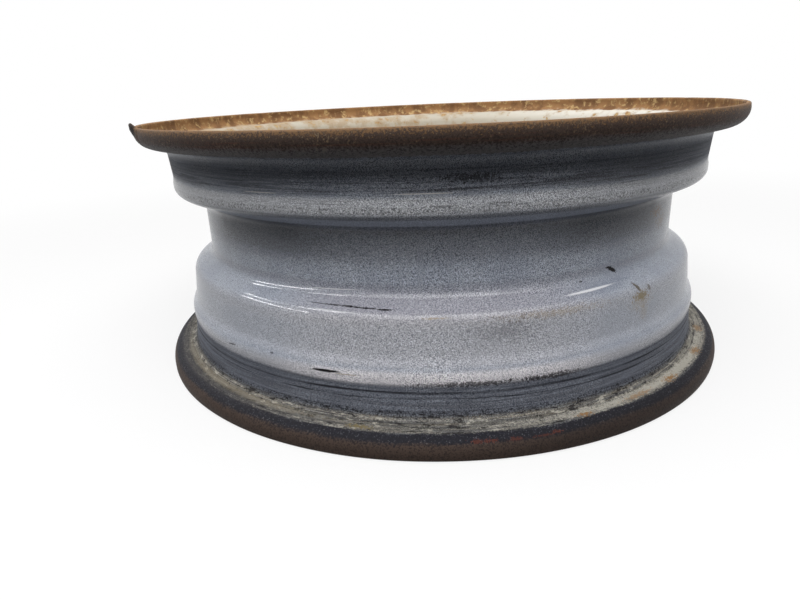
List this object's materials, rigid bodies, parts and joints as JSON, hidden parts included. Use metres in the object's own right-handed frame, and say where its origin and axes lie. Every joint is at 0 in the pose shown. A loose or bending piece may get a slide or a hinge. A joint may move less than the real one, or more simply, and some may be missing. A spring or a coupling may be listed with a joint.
{
  "type": "wheel rim",
  "caption": "Used pressed steel car wheel: rolled drop-centre rim with turned-out flanges, welded to a pressed disc with hub bore, bolt seats and vents.",
  "frame": {"origin": "on the wheel's axis, at the lowest edge of the inboard lip that the wheel lies on", "axes": "+Z along the axle towards the street side; +Y towards the valve hole; +X completes the frame"},
  "size_m": [0.4158, 0.4158, 0.1657],
  "materials": {
    "rim_paint": "worn blue-grey primer on the tyre side, rusty lips, cream paint on the street side",
    "disc_paint": "aged cream paint with rust spots on the street side, grey primer on the hub side",
    "weld_steel": "painted-over weld bead with rust"
  },
  "bodies": {
    "root": {"rim": "rim_paint", "wheel_disc": "disc_paint", "disc_weld_1": "weld_steel", "disc_weld_2": "weld_steel", "disc_weld_3": "weld_steel", "disc_weld_4": "weld_steel", "disc_weld_5": "weld_steel", "disc_weld_6": "weld_steel", "disc_weld_7": "weld_steel", "disc_weld_8": "weld_steel"}
  },
  "joints": []
}
